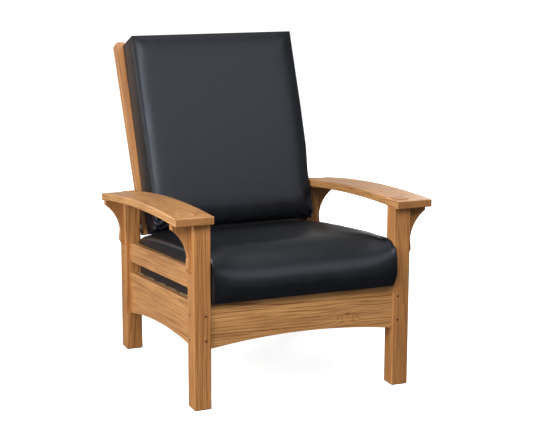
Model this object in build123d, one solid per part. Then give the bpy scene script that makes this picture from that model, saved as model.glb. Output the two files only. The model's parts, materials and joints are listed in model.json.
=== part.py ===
from build123d import *
import math
import os

# A mission reclining armchair. Lengths are in millimetres: X runs across the chair,
# -Y is its front and +Z is up. Left is -X, as seen by someone who faces the chair.

# Fits and cuts
overrun = 5.0
glue_gap = 0.05
running_gap = 0.05
soft_gap = 0.4
seat_gap = 0.3
mortise_end_gap = 1.0

# Legs and their through tenons
frame_width = 740.5
frame_depth = 766.8
leg_size = 57.15
leg_edge_radius = 3.5
foot_chamfer = 3.0
through_tenon_size = 45.0
through_tenon_proud = 3.0
through_tenon_bevel = 1.8

# Arms: bowed boards that fall towards the back
arm_width = 125.0
arm_thickness = 25.0
arm_inner_overhang = 3.9
arm_front_reach = 22.5
arm_rear_reach = 4.8
arm_front_above_pivot = 162.0
arm_fall = 60.0
arm_bow = 16.5
arm_edge_radius = 3.0

# Rails of the base
front_rail_inset = 6.4
front_rail_depth = 142.0
front_rail_arch = 24.0
rail_thickness = 22.0
seat_fall = 53.4
side_rail_depth = 147.0
side_rail_arch = 22.0
upper_rail_gap = 40.0
upper_rail_height = 67.0
rail_tenon_length = 22.0
side_tenon_length = 27.5
rail_tenon_thickness = 10.0
rail_tenon_shoulder = 12.0
rail_edge_radius = 1.5

# Pegs that lock the rail tenons
peg_diameter = 8.0
peg_stop_from_leg_face = 23.15
peg_upper_drop = 35.5
peg_lower_drop = 114.0
front_peg_from_leg_side = 16.5
side_peg_from_leg_face = 18.7

# Corbels under the arms
corbel_thickness = 25.4
corbel_projection = 61.2
corbel_height = 158.0
corbel_shoulder = 17.0
corbel_waist_drop = 108.0
corbel_waist_projection = 8.2
corbel_hollow = 12.0
corbel_flare_drop = 143.0
corbel_flare_projection = 11.5
corbel_tip_projection = 4.0
dowel_diameter = 8.0
dowel_length = 40.0
dowel_first_drop = 25.0
dowel_spacing = 28.0

# Seat deck: cleats on the side rails and slats across them
cleat_size = 22.0
slat_count = 6
slat_width = 70.0
slat_thickness = 15.0
slat_end_gap = 1.0
slat_run_margin = 2.0
slat_edge_radius = 2.0
screw_head_diameter = 8.0
screw_head_depth = 2.4
screw_shank_diameter = 4.0
screw_slot_width = 1.0
screw_slot_depth = 1.0
slat_screw_length = 28.0
cleat_screw_length = 34.0

# Back frame, measured from the pivot along its stiles
back_tilt = 21.9
back_reclines = 20.0
pivot_height = 430.0
stile_thickness = 25.0
stile_leg_gap = 9.35
stile_foot_width = 23.75
stile_head_width = 36.9
stile_below_pivot = 25.0
stile_above_pivot = 675.0
stile_straight_above_pivot = 25.0
stile_corner_rise = 13.0
stile_corner_run = 10.0
stile_edge_radius = 2.0
back_rail_thickness = 19.0
back_rail_height = 70.0
back_top_rail_drop = 6.0
back_slat_count = 4
back_slat_height = 55.0
back_slat_thickness = 12.0
back_tenon_length = 12.0

# Pivots of the back
pivot_pin_diameter = 9.525
pivot_pin_in_leg = 25.0
pivot_pin_in_rail = 14.0
pivot_spacer_diameter = 25.4

# Support bar behind the stiles and the notched racks that carry it
bar_diameter = 25.4
rack_below_arm = 20.76
bar_end_chamfer = 1.5
bar_gap = 0.3
rack_thickness = 22.0
rack_beyond_last_notch = 21.0
rack_root_height = 72.0
rack_end_height = 20.0
rack_underside_hollow = 9.0
rack_tenon_length = 20.0
rack_tenon_height = 44.0
rack_tenon_below_top = 14.0
notch_depth = 4.0
notch_play = 0.5
notch_count = 3

# Cushions
seat_cushion_side_gap = 2.6
seat_cushion_before_pivot = 3.6
seat_cushion_under_pivot = 14.72
seat_cushion_overhang = 30.0
seat_cushion_thickness = 157.0
seat_cushion_crown = 13.0
back_cushion_arm_gap = 1.0
back_cushion_below_head = 0.6
back_cushion_thickness = 127.0
back_cushion_crown = 9.0
back_cushion_offset = 10.7
back_cushion_below_pivot = 28.6
cushion_side_draw = 9.0
cushion_corner_draw = 14.0
seat_cushion_front_round = 46.0
seat_cushion_rear_round = 34.0
back_cushion_bottom_round = 46.0
back_cushion_top_round = 30.0
seam_height_share = 0.45
end_steps = 6
cover_thickness = 2.0
core_gap = 0.4

# Thickness along a cushion: place and thickness, each as a share of the cushion's own
seat_front_profile_shares = [(0.00, 0.86), (0.09, 0.93), (0.16, 0.965), (0.31, 1.00), (0.58, 0.985)]
back_profile_shares = [(0.00, 0.97), (0.15, 1.00), (0.50, 1.00), (0.85, 1.00), (1.00, 0.97)]

# Thickness under the back cushion: distance from the seat cushion's rear end as a share of the
# back cushion's thickness, and thickness as a share of the seat cushion's own
seat_rear_profile_shares = [(1.258, 0.92), (0.779, 0.875), (0.359, 0.76), (0.00, 0.64)]
seat_under_back_share = 0.875

# Places worked out from the sizes above
leg_x = frame_width / 2 - leg_size / 2
leg_y = frame_depth / 2 - leg_size / 2
leg_inner_x = frame_width / 2 - leg_size
leg_inner_y = frame_depth / 2 - leg_size
rail_outer_x = leg_x + rail_thickness / 2
rail_inner_x = leg_x - rail_thickness / 2
front_rail_y = -frame_depth / 2 + front_rail_inset + rail_thickness / 2
front_rail_back_y = front_rail_y + rail_thickness / 2
seat_slope = seat_fall / (2 * leg_inner_y)
seat_angle = math.degrees(math.atan(seat_slope))
pivot_y = leg_y
peg_length = leg_size - peg_stop_from_leg_face
seat_below_pivot = seat_cushion_thickness * seat_under_back_share + seat_cushion_under_pivot
front_rail_top = pivot_height - seat_below_pivot + seat_slope * (pivot_y - front_rail_back_y)
stile_inner_x = leg_inner_x - stile_leg_gap - stile_foot_width
stile_outer_x = stile_inner_x + stile_foot_width
arm_front_y = -frame_depth / 2 - arm_front_reach
arm_rear_y = frame_depth / 2 + arm_rear_reach
arm_front_height = pivot_height + arm_front_above_pivot
bar_radius = bar_diameter / 2
seat_run_to_pivot = (pivot_y - front_rail_back_y) / math.cos(math.radians(seat_angle))
seat_cushion_start = -(rail_thickness + seat_cushion_overhang)
seat_cushion_length = seat_run_to_pivot - seat_cushion_before_pivot - seat_cushion_start
seat_cushion_width = 2 * (leg_inner_x - seat_cushion_side_gap)
back_cushion_room = leg_inner_x - arm_inner_overhang - back_cushion_arm_gap
back_cushion_width = 2 * (back_cushion_room - back_cushion_offset)
back_cushion_length = stile_above_pivot + back_cushion_below_pivot - back_cushion_below_head
seat_profile_shares = seat_front_profile_shares + [
    (1 - distance * back_cushion_thickness / seat_cushion_length, share)
    for distance, share in seat_rear_profile_shares
]


def seat_z(y):
    # Height of the seat plane, which meets the back edge of the front rail's top
    return front_rail_top - seat_slope * (y - front_rail_back_y)


rear_rail_top = seat_z(leg_y + rail_thickness / 2)
seat_plane = Plane(
    origin=(0, front_rail_back_y, front_rail_top),
    x_dir=(1, 0, 0),
    z_dir=(0, math.sin(math.radians(seat_angle)), math.cos(math.radians(seat_angle))),
)
back_place = Pos(0, pivot_y, pivot_height) * Rot(-back_tilt, 0, 0)


def across(face, x_start, x_end):
    # Extrudes a face drawn in (Y, Z) from one X to another
    plane = Plane(origin=(x_start, 0, 0), x_dir=(0, 1, 0), z_dir=(1, 0, 0))
    return extrude(plane * face, amount=x_end - x_start)


def along(face, y_start, y_end):
    # Extrudes a face drawn in (X, Z) from one Y to another
    plane = Plane(origin=(0, y_end, 0), x_dir=(1, 0, 0), z_dir=(0, -1, 0))
    return extrude(plane * face, amount=y_end - y_start)


def block(x_range, y_range, z_range):
    # A box between two places on each axis
    size = [high - low for low, high in (x_range, y_range, z_range)]
    middle = [(high + low) / 2 for low, high in (x_range, y_range, z_range)]
    return Pos(*middle) * Box(*size)


def rod(radius, length, direction, middle):
    # A round bar along a direction, centred on a point
    return Plane(origin=middle, z_dir=direction) * Cylinder(radius, length)


def arm_arc(rise):
    # End and middle points, in (Y, Z), of a line parallel to the arm's bowed underside
    front = Vector(arm_front_y, arm_front_height)
    rear = Vector(arm_rear_y, arm_front_height - arm_fall)
    chord = rear - front
    upward = Vector(-chord.Y, chord.X).normalized()
    radius = chord.length ** 2 / (8 * arm_bow) + arm_bow / 2
    middle = (front + rear) / 2
    centre = middle - upward * (radius - arm_bow)
    scale = (radius + rise) / radius
    top = centre + upward * (radius + rise)
    return centre + (front - centre) * scale, top, centre + (rear - centre) * scale


def band(low, high):
    # The face between two lines parallel to the arm's underside
    front_low, middle_low, rear_low = arm_arc(low)
    front_high, middle_high, rear_high = arm_arc(high)
    outline = Wire([
        ThreePointArc(front_low, middle_low, rear_low),
        Line(rear_low, rear_high),
        ThreePointArc(rear_high, middle_high, front_high),
        Line(front_high, front_low),
    ])
    return Face(outline)


def arm_underside_z(y):
    # Height of the arm's underside above a place in Y
    front, middle, rear = arm_arc(0)
    reach = (y - front.X) / (rear.X - front.X)
    chord_z = front.Y + (rear.Y - front.Y) * reach
    return chord_z + 4 * arm_bow * reach * (1 - reach)


rack_top = arm_underside_z(frame_depth / 2) - rack_below_arm
bar_z = rack_top + bar_gap + bar_radius
bar_above_pivot = bar_z - pivot_height


def bar_y(tilt):
    # The bar touches the stiles' rear faces when the back leans at this tilt
    angle = math.radians(tilt)
    reach = stile_thickness / 2 + bar_radius + bar_gap
    return pivot_y + reach / math.cos(angle) + bar_above_pivot * math.tan(angle)


def rail_tenon(end, grow):
    # Tenon of the front or rear rail in the leg at the given end and at +X
    y_middle = front_rail_y if end < 0 else leg_y
    top = front_rail_top if end < 0 else rear_rail_top
    half = rail_tenon_thickness / 2 + grow
    length = rail_tenon_length + (mortise_end_gap if grow else 0)
    return block(
        (leg_inner_x - (0 if grow else overrun), leg_inner_x + length),
        (y_middle - half, y_middle + half),
        (top - front_rail_depth + rail_tenon_shoulder - grow, top - rail_tenon_shoulder + grow),
    )


def sloped_face(y_start, y_end, low, high):
    # A face in (Y, Z) between two heights above the seat plane
    corners = [
        (y_start, seat_z(y_start) + low),
        (y_end, seat_z(y_end) + low),
        (y_end, seat_z(y_end) + high),
        (y_start, seat_z(y_start) + high),
    ]
    return make_face(Polyline(*corners, close=True))


def side_tenon(end, low, high, grow):
    # Tenon of a side rail in the leg at the given end and at +X
    length = side_tenon_length + (mortise_end_gap if grow else 0)
    inner = leg_inner_y - (0 if grow else overrun)
    y_places = sorted((end * inner, end * (leg_inner_y + length)))
    shape = sloped_face(*y_places, low + rail_tenon_shoulder - grow, high - rail_tenon_shoulder + grow)
    half = rail_tenon_thickness / 2 + grow
    return across(shape, leg_x - half, leg_x + half)


upper_low = upper_rail_gap
upper_high = upper_rail_gap + upper_rail_height


def end_pegs(end, grow):
    # Pegs that enter the front or rear face of a leg, at +X
    top = front_rail_top if end < 0 else rear_rail_top
    x = leg_inner_x + front_peg_from_leg_side
    y = end * (frame_depth / 2 - peg_length / 2)
    middles = [(x, y, top - drop) for drop in (peg_upper_drop, peg_lower_drop)]
    return [rod(peg_diameter / 2 + grow, peg_length, (0, end, 0), middle) for middle in middles]


def side_pegs(end, grow):
    # Pegs that enter the outer side of a leg, at +X
    x = frame_width / 2 - peg_length / 2
    y = end * (leg_inner_y + side_peg_from_leg_face)
    rises = (-peg_upper_drop, -peg_lower_drop, (upper_low + upper_high) / 2)
    middles = [(x, y, seat_z(y) + rise) for rise in rises]
    return [rod(peg_diameter / 2 + grow, peg_length, (1, 0, 0), middle) for middle in middles]


def corbel_dowels(end, grow):
    # Dowels that hold a corbel to the leg at +X
    top = arm_underside_z(end * leg_y)
    drops = (dowel_first_drop, dowel_first_drop + dowel_spacing)
    middles = [(frame_width / 2, end * leg_y, top - drop) for drop in drops]
    radius = dowel_diameter / 2 + grow
    return [rod(radius, dowel_length + 2 * grow, (1, 0, 0), middle) for middle in middles]


def rack_tenon(grow):
    # Tenon of the bar's rack in the rear leg at +X
    half = rail_tenon_thickness / 2 + grow
    length = rack_tenon_length + (mortise_end_gap if grow else 0)
    rear = frame_depth / 2
    high = rack_top - rack_tenon_below_top
    return block(
        (leg_x - half, leg_x + half),
        (rear - length, rear + (0 if grow else overrun)),
        (high - rack_tenon_height - grow, high + grow),
    )


def pivot_hole():
    # Running bore for the pivot pin in the rear leg at +X
    radius = pivot_pin_diameter / 2 + running_gap
    depth = pivot_pin_in_leg + mortise_end_gap
    middle = (leg_inner_x + (depth - overrun) / 2, pivot_y, pivot_height)
    return rod(radius, depth + overrun, (1, 0, 0), middle)


def leg(end):
    # A leg at +X with its through tenon, mortises and holes
    height = arm_front_height + arm_bow + arm_thickness
    post = Pos(leg_x, end * leg_y, height / 2) * Box(leg_size, leg_size, height)
    post = fillet(post.edges().filter_by(Axis.Z), leg_edge_radius)
    post = chamfer(post.faces().sort_by(Axis.Z)[0].edges(), foot_chamfer)
    sky = across(band(0, height), leg_x - leg_size, leg_x + leg_size)
    half = through_tenon_size / 2
    tenon = block(
        (leg_x - half, leg_x + half),
        (end * leg_y - half, end * leg_y + half),
        (arm_front_height - arm_fall - overrun, height + leg_size),
    )
    above_tenon = band(arm_thickness + through_tenon_proud, height)
    tenon -= across(above_tenon, leg_x - leg_size, leg_x + leg_size)
    tenon = chamfer(tenon.faces().sort_by(Axis.Z)[-1].edges(), through_tenon_bevel)
    cuts = [rail_tenon(end, glue_gap)]
    cuts += [side_tenon(end, -side_rail_depth, 0, glue_gap)]
    cuts += [side_tenon(end, upper_low, upper_high, glue_gap)]
    cuts += end_pegs(end, glue_gap) + side_pegs(end, glue_gap) + corbel_dowels(end, glue_gap)
    if end > 0:
        cuts += [rack_tenon(glue_gap), pivot_hole()]
    return post - sky + tenon - cuts


def arm():
    # The arm at +X
    inner = leg_inner_x - arm_inner_overhang
    board = across(band(0, arm_thickness), inner, inner + arm_width)
    board = fillet(board.edges(), arm_edge_radius)
    hole = through_tenon_size + 2 * glue_gap
    height = arm_front_height + arm_bow
    for end in (-1, 1):
        board -= Pos(leg_x, end * leg_y, height) * Box(hole, hole, height)
    return board


def cross_rail(end):
    # The arched front or rear rail
    y_middle = front_rail_y if end < 0 else leg_y
    top = front_rail_top if end < 0 else rear_rail_top
    low = top - front_rail_depth
    outline = Wire([
        Line((-leg_inner_x, top), (-leg_inner_x, low)),
        ThreePointArc((-leg_inner_x, low), (0, low + front_rail_arch), (leg_inner_x, low)),
        Line((leg_inner_x, low), (leg_inner_x, top)),
        Line((leg_inner_x, top), (-leg_inner_x, top)),
    ])
    board = along(Face(outline), y_middle - rail_thickness / 2, y_middle + rail_thickness / 2)
    board = fillet(board.edges().filter_by(Axis.X), rail_edge_radius)
    tenon = rail_tenon(end, 0)
    board = board + tenon + mirror(tenon, Plane.YZ)
    pegs = end_pegs(end, glue_gap)
    return board - pegs - [mirror(peg, Plane.YZ) for peg in pegs]


def side_rail(low, high, arch):
    # A side rail at +X that falls with the seat, with an arched lower edge where it has one
    front = (-leg_inner_y, seat_z(-leg_inner_y))
    rear = (leg_inner_y, seat_z(leg_inner_y))
    if arch:
        lower_edge = ThreePointArc(
            (front[0], front[1] + low),
            (0, (front[1] + rear[1]) / 2 + low + arch),
            (rear[0], rear[1] + low),
        )
    else:
        lower_edge = Line((front[0], front[1] + low), (rear[0], rear[1] + low))
    outline = Wire([
        lower_edge,
        Line((rear[0], rear[1] + low), (rear[0], rear[1] + high)),
        Line((rear[0], rear[1] + high), (front[0], front[1] + high)),
        Line((front[0], front[1] + high), (front[0], front[1] + low)),
    ])
    board = across(Face(outline), rail_inner_x, rail_outer_x)
    long_edges = [edge for edge in board.edges().filter_by(GeomType.LINE) if edge.length > leg_inner_y]
    board = fillet(long_edges, rail_edge_radius)
    board += [side_tenon(end, low, high, 0) for end in (-1, 1)]
    return board - side_pegs(-1, glue_gap) - side_pegs(1, glue_gap)


def corbel(end):
    # A corbel on the leg at +X, with its top against the arm's underside
    top = arm_underside_z(end * leg_y)
    face_x = frame_width / 2
    shoulder = (face_x + corbel_projection, top - corbel_shoulder)
    waist = (face_x + corbel_waist_projection, top - corbel_waist_drop)
    flare = (face_x + corbel_flare_projection, top - corbel_flare_drop)
    tip = (face_x + corbel_tip_projection, top - corbel_height)
    chord = Vector(*waist) - Vector(*shoulder)
    towards_leg = Vector(chord.Y, -chord.X).normalized()
    hollow = (Vector(*shoulder) + Vector(*waist)) / 2 + towards_leg * corbel_hollow
    raised = top + arm_thickness
    outline = Wire([
        Line((face_x, raised), (face_x, top - corbel_height)),
        Line((face_x, top - corbel_height), tip),
        Line(tip, flare),
        Line(flare, waist),
        ThreePointArc(waist, (hollow.X, hollow.Y), shoulder),
        Line(shoulder, (shoulder[0], raised)),
        Line((shoulder[0], raised), (face_x, raised)),
    ])
    y_middle = end * leg_y
    piece = along(Face(outline), y_middle - corbel_thickness / 2, y_middle + corbel_thickness / 2)
    piece -= across(band(0, arm_front_height), face_x - overrun, face_x + corbel_projection + overrun)
    return piece - corbel_dowels(end, glue_gap)


def screw(length, grow):
    # A countersunk wood screw that points down from the origin
    shank_radius = screw_shank_diameter / 2 + grow
    head_radius = screw_head_diameter / 2 + grow
    head = Pos(0, 0, -screw_head_depth / 2) * Cone(shank_radius, head_radius, screw_head_depth)
    shank = Pos(0, 0, -length / 2) * Cylinder(shank_radius, length)
    piece = head + shank
    if grow:
        return piece
    slot = Box(screw_head_diameter + overrun, screw_slot_width, 2 * screw_slot_depth)
    return piece - slot


deck_start = (-leg_inner_y - front_rail_back_y) / math.cos(math.radians(seat_angle)) + slat_run_margin
deck_length = 2 * leg_inner_y / math.cos(math.radians(seat_angle)) - 2 * slat_run_margin
slat_pitch = (deck_length - slat_width) / (slat_count - 1)
slat_places = [deck_start + slat_width / 2 + slat_pitch * index for index in range(slat_count)]
cleat_screw_places = [(low + high) / 2 for low, high in zip(slat_places[::2], slat_places[1::2])]
cleat_middle_x = rail_inner_x - cleat_size / 2


def slat_screws(place, grow):
    # The two screws at the ends of a slat
    places = [Pos(side * cleat_middle_x, place, 0) for side in (-1, 1)]
    return [seat_plane * head_place * screw(slat_screw_length, grow) for head_place in places]


def cleat_screws(grow):
    # Screws that hold the cleat at +X to its side rail
    drop = slat_thickness + cleat_size / 2
    inner = rail_inner_x - cleat_size
    places = [Pos(inner, place, -drop) * Rot(0, -90, 0) for place in cleat_screw_places]
    return [seat_plane * head_place * screw(cleat_screw_length, grow) for head_place in places]


def cleat():
    # The cleat on the side rail at +X
    high = -slat_thickness / math.cos(math.radians(seat_angle))
    low = high - cleat_size
    side_view = sloped_face(-leg_inner_y, leg_inner_y, low, high)
    strip = across(side_view, rail_inner_x - cleat_size, rail_inner_x)
    holes = cleat_screws(glue_gap)
    for place in slat_places:
        holes += slat_screws(place, glue_gap)
    return strip - holes


def seat_slat(place):
    # A slat whose top lies in the seat plane
    length = 2 * (rail_inner_x - slat_end_gap)
    board = Box(length, slat_width, slat_thickness)
    board = fillet(board.edges().filter_by(Axis.X), slat_edge_radius)
    return seat_plane * Pos(0, place, -slat_thickness / 2) * board - slat_screws(place, glue_gap)


top_rail_high = stile_above_pivot - back_top_rail_drop
top_rail_low = top_rail_high - back_rail_height
bottom_rail_low = -stile_below_pivot
bottom_rail_high = bottom_rail_low + back_rail_height
open_height = top_rail_low - bottom_rail_high - back_slat_count * back_slat_height
back_slat_gap = open_height / (back_slat_count + 1)
back_slat_lows = [
    bottom_rail_high + back_slat_gap + index * (back_slat_height + back_slat_gap)
    for index in range(back_slat_count)
]


def back_cross(low, height, thickness, grow):
    # A rail or slat of the back with its ends let into the stiles, in the back's own frame
    half = stile_inner_x + back_tenon_length + (mortise_end_gap if grow else 0)
    return block(
        (-half, half),
        (-thickness / 2 - grow, thickness / 2 + grow),
        (low - grow, low + height + grow),
    )


def back_rail(low):
    # The top or bottom rail of the back
    board = back_cross(low, back_rail_height, back_rail_thickness, 0)
    board = fillet(board.edges().filter_by(Axis.X), rail_edge_radius)
    for side in (-1, 1):
        board -= pivot_pin(side, glue_gap)
    return board


def back_slat(low):
    # A cross slat of the back
    board = back_cross(low, back_slat_height, back_slat_thickness, 0)
    return fillet(board.edges().filter_by(Axis.X), rail_edge_radius)


def pivot_pin(side, grow):
    # A pivot pin, in the back's own frame
    start = stile_inner_x - pivot_pin_in_rail
    end = leg_inner_x + pivot_pin_in_leg
    return rod(pivot_pin_diameter / 2 + grow, end - start, (1, 0, 0), (side * (start + end) / 2, 0, 0))


def pivot_spacer(side):
    # The washer on the pivot pin between the stile and the leg
    width = leg_inner_x - stile_outer_x - seat_gap
    middle = (side * (stile_outer_x + width / 2), 0, 0)
    ring = rod(pivot_spacer_diameter / 2, width, (1, 0, 0), middle)
    return ring - rod(pivot_pin_diameter / 2 + running_gap, width + overrun, (1, 0, 0), middle)


def stile():
    # The back stile at +X, in the back's own frame
    head_x = stile_inner_x + stile_head_width
    corners = [
        (stile_inner_x, -stile_below_pivot),
        (stile_outer_x, -stile_below_pivot),
        (stile_outer_x, stile_straight_above_pivot),
        (head_x, stile_above_pivot - stile_corner_rise),
        (head_x - stile_corner_run, stile_above_pivot),
        (stile_inner_x, stile_above_pivot),
    ]
    board = along(make_face(Polyline(*corners, close=True)), -stile_thickness / 2, stile_thickness / 2)
    long_edges = [edge for edge in board.edges() if edge.length > stile_above_pivot / 2]
    board = fillet(long_edges, stile_edge_radius)
    for low in (bottom_rail_low, top_rail_low):
        board -= back_cross(low, back_rail_height, back_rail_thickness, glue_gap)
    for low in back_slat_lows:
        board -= back_cross(low, back_slat_height, back_slat_thickness, glue_gap)
    return board - pivot_pin(1, glue_gap)


def support_bar():
    # The round bar that the stiles lean on
    length = 2 * (leg_x + rack_thickness / 2)
    bar = Cylinder(bar_radius, length)
    bar = chamfer(bar.edges(), bar_end_chamfer)
    return Pos(0, bar_y(back_tilt), bar_z) * Rot(0, 90, 0) * bar


def rack():
    # The notched rack on the rear leg at +X
    root_y = frame_depth / 2
    notch_first = bar_y(back_tilt)
    notch_last = bar_y(back_tilt + back_reclines)
    end_y = notch_last + rack_beyond_last_notch
    end_low = rack_top - rack_end_height
    root_low = rack_top - rack_root_height
    chord = Vector(end_y - root_y, end_low - root_low)
    upward = Vector(-chord.Y, chord.X).normalized()
    hollow = Vector((root_y + end_y) / 2, (root_low + end_low) / 2) + upward * rack_underside_hollow
    outline = Wire([
        ThreePointArc((root_y, root_low), (hollow.X, hollow.Y), (end_y, end_low)),
        Line((end_y, end_low), (end_y, rack_top)),
        Line((end_y, rack_top), (root_y, rack_top)),
        Line((root_y, rack_top), (root_y, root_low)),
    ])
    half = rack_thickness / 2
    piece = across(Face(outline), leg_x - half, leg_x + half) + rack_tenon(0)
    notch_radius = bar_radius + notch_play
    for index in range(notch_count):
        y = notch_first + (notch_last - notch_first) * index / (notch_count - 1)
        middle = (leg_x, y, rack_top - notch_depth + notch_radius)
        piece -= rod(notch_radius, rack_thickness + overrun, (1, 0, 0), middle)
    return piece


def thickness_share(profile_shares, place):
    # Thickness at a place along the cushion, between the nearest two entries of its profile
    for (start, start_share), (end, end_share) in zip(profile_shares, profile_shares[1:]):
        if place <= end:
            return start_share + (end_share - start_share) * (place - start) / (end - start)
    return profile_shares[-1][1]


def cushion(sizes, profile_shares, inset):
    # A crowned cushion with drawn-in sides: X is its width, Y its length and Z its thickness.
    # Each section is a flat underside, two bulging sides and a crowned top, and the sections
    # shrink towards the seam on a quarter of an ellipse at either end.
    width, length, thickness, crown, start_round, end_round = sizes
    angles = [math.radians(90 * step / end_steps) for step in range(1, end_steps + 1)]
    stations = [(start_round * (1 - math.cos(angle)), math.sin(angle)) for angle in angles]
    stations += [(length * place, 1) for place, share in profile_shares[1:-1]]
    angles.reverse()
    stations += [(length - end_round * (1 - math.cos(angle)), math.sin(angle)) for angle in angles]
    sections = []
    for place, fullness in stations:
        y = inset + (length - 2 * inset) * place / length
        full_top = thickness * thickness_share(profile_shares, place / length)
        seam = full_top * seam_height_share
        bottom = seam * (1 - fullness) + inset
        top = seam + (full_top - seam) * fullness - inset
        half = width / 2 - cushion_corner_draw * (1 - fullness) - inset
        drawn = half - cushion_side_draw * fullness
        middle = (bottom + top) / 2
        outline = Wire([
            Line((-drawn, bottom), (drawn, bottom)),
            ThreePointArc((drawn, bottom), (half, middle), (drawn, top)),
            ThreePointArc((drawn, top), (0, top + crown * fullness), (-drawn, top)),
            ThreePointArc((-drawn, top), (-half, middle), (-drawn, bottom)),
        ])
        plane = Plane(origin=(0, y, 0), x_dir=(1, 0, 0), z_dir=(0, -1, 0))
        sections.append(plane * Face(outline))
    return loft(sections, ruled=True)


def cover_and_core(sizes, profile_shares):
    # A leather cover and the foam core inside it
    outside = cushion(sizes, profile_shares, 0)
    inside = cushion(sizes, profile_shares, cover_thickness)
    core = cushion(sizes, profile_shares, cover_thickness + core_gap)
    return outside - inside, core


pieces = {}


def add_pair(name, shape):
    # Adds a piece made at +X and its mirror image at -X
    pieces[name + "_right"] = shape
    pieces[name + "_left"] = mirror(shape, Plane.YZ)


def both_sides(shapes):
    # A group of shapes made at +X with their mirror images
    return Compound(list(shapes) + [mirror(shape, Plane.YZ) for shape in shapes])


for end, end_name in ((-1, "front"), (1, "rear")):
    add_pair("leg_" + end_name, leg(end))
    add_pair("corbel_" + end_name, corbel(end))
    pieces[end_name + "_rail"] = cross_rail(end)
    pieces[end_name + "_rail_pegs"] = both_sides(end_pegs(end, 0))
add_pair("arm", arm())
add_pair("side_rail", side_rail(-side_rail_depth, 0, side_rail_arch) - cleat_screws(glue_gap))
add_pair("upper_side_rail", side_rail(upper_low, upper_high, 0))
pieces["side_rail_pegs"] = both_sides(side_pegs(-1, 0) + side_pegs(1, 0))
pieces["corbel_dowels"] = both_sides(corbel_dowels(-1, 0) + corbel_dowels(1, 0))

add_pair("seat_cleat", cleat())
pieces["seat_cleat_screws"] = both_sides(cleat_screws(0))
all_slat_screws = []
for index, place in enumerate(slat_places):
    pieces[f"seat_slat_{index + 1}"] = seat_slat(place)
    all_slat_screws += slat_screws(place, 0)
pieces["seat_slat_screws"] = Compound(all_slat_screws)

add_pair("back_stile", back_place * stile())
pieces["back_bottom_rail"] = back_place * back_rail(bottom_rail_low)
pieces["back_top_rail"] = back_place * back_rail(top_rail_low)
for index, low in enumerate(back_slat_lows):
    pieces[f"back_slat_{index + 1}"] = back_place * back_slat(low)
for side, side_name in ((-1, "left"), (1, "right")):
    pieces["pivot_pin_" + side_name] = back_place * pivot_pin(side, 0)
    pieces["pivot_spacer_" + side_name] = back_place * pivot_spacer(side)

pieces["support_bar"] = support_bar()
add_pair("bar_rack", rack())

seat_cushion_sizes = (
    seat_cushion_width,
    seat_cushion_length,
    seat_cushion_thickness,
    seat_cushion_crown,
    seat_cushion_front_round,
    seat_cushion_rear_round,
)
seat_cover, seat_core = cover_and_core(seat_cushion_sizes, seat_profile_shares)
seat_cushion_place = seat_plane * Pos(0, seat_cushion_start, soft_gap)
pieces["seat_cushion_cover"] = seat_cushion_place * seat_cover
pieces["seat_cushion_core"] = seat_cushion_place * seat_core

back_cushion_sizes = (
    back_cushion_width,
    back_cushion_length,
    back_cushion_thickness,
    back_cushion_crown,
    back_cushion_bottom_round,
    back_cushion_top_round,
)
back_cover, back_core = cover_and_core(back_cushion_sizes, back_profile_shares)
back_cushion_y = -stile_thickness / 2 - soft_gap
back_cushion_foot = Pos(back_cushion_offset, back_cushion_y, -back_cushion_below_pivot)
back_cushion_place = back_place * back_cushion_foot * Rot(90, 0, 0)
pieces["back_cushion_cover"] = back_cushion_place * back_cover
pieces["back_cushion_core"] = back_cushion_place * back_core

# The origin lies on the floor, midway across and midway between the foremost and rearmost points
front_most = min(piece.bounding_box().min.Y for piece in pieces.values())
rear_most = max(piece.bounding_box().max.Y for piece in pieces.values())
to_middle = Pos(0, -(front_most + rear_most) / 2, 0)
print(f"moved back by {(front_most + rear_most) / 2:.3f}")
print(f"bar travel {bar_y(back_tilt + back_reclines) - bar_y(back_tilt):.3f}")

os.makedirs("parts", exist_ok=True)
for name, piece in pieces.items():
    export_step(to_middle * piece, f"parts/{name}.step")
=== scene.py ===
import json
import math
import bpy
import numpy as np
from mathutils import Matrix, Vector
from mathutils.kdtree import KDTree


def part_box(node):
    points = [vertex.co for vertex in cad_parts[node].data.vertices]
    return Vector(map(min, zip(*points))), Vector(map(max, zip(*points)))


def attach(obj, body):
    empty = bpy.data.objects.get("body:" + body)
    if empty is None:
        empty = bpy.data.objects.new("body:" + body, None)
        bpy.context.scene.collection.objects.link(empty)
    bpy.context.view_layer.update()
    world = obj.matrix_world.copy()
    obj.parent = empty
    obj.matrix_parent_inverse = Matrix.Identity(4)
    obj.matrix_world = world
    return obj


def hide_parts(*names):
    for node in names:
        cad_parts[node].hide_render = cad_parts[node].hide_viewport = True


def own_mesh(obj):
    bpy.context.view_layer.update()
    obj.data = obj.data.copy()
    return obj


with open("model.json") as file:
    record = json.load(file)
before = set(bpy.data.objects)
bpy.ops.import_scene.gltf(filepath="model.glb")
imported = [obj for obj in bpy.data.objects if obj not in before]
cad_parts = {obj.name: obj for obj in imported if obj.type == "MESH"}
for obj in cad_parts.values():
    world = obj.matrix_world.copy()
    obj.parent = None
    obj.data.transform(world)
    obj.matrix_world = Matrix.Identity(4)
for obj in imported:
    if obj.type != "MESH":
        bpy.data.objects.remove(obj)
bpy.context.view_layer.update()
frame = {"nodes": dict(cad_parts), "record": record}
nodes = frame["nodes"]
joints = {joint["name"]: joint for joint in frame["record"]["behaviour"]["joints"]}
print("frame loaded:", len(nodes), "nodes")


# Colours and nodes

def linear(hexColour):
    # an sRGB hex colour as linear light
    parts = [int(hexColour[place:place + 2], 16) / 255 for place in (1, 3, 5)]
    return [part / 12.92 if part <= 0.04045 else ((part + 0.055) / 1.055) ** 2.4 for part in parts] + [1.0]


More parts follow.
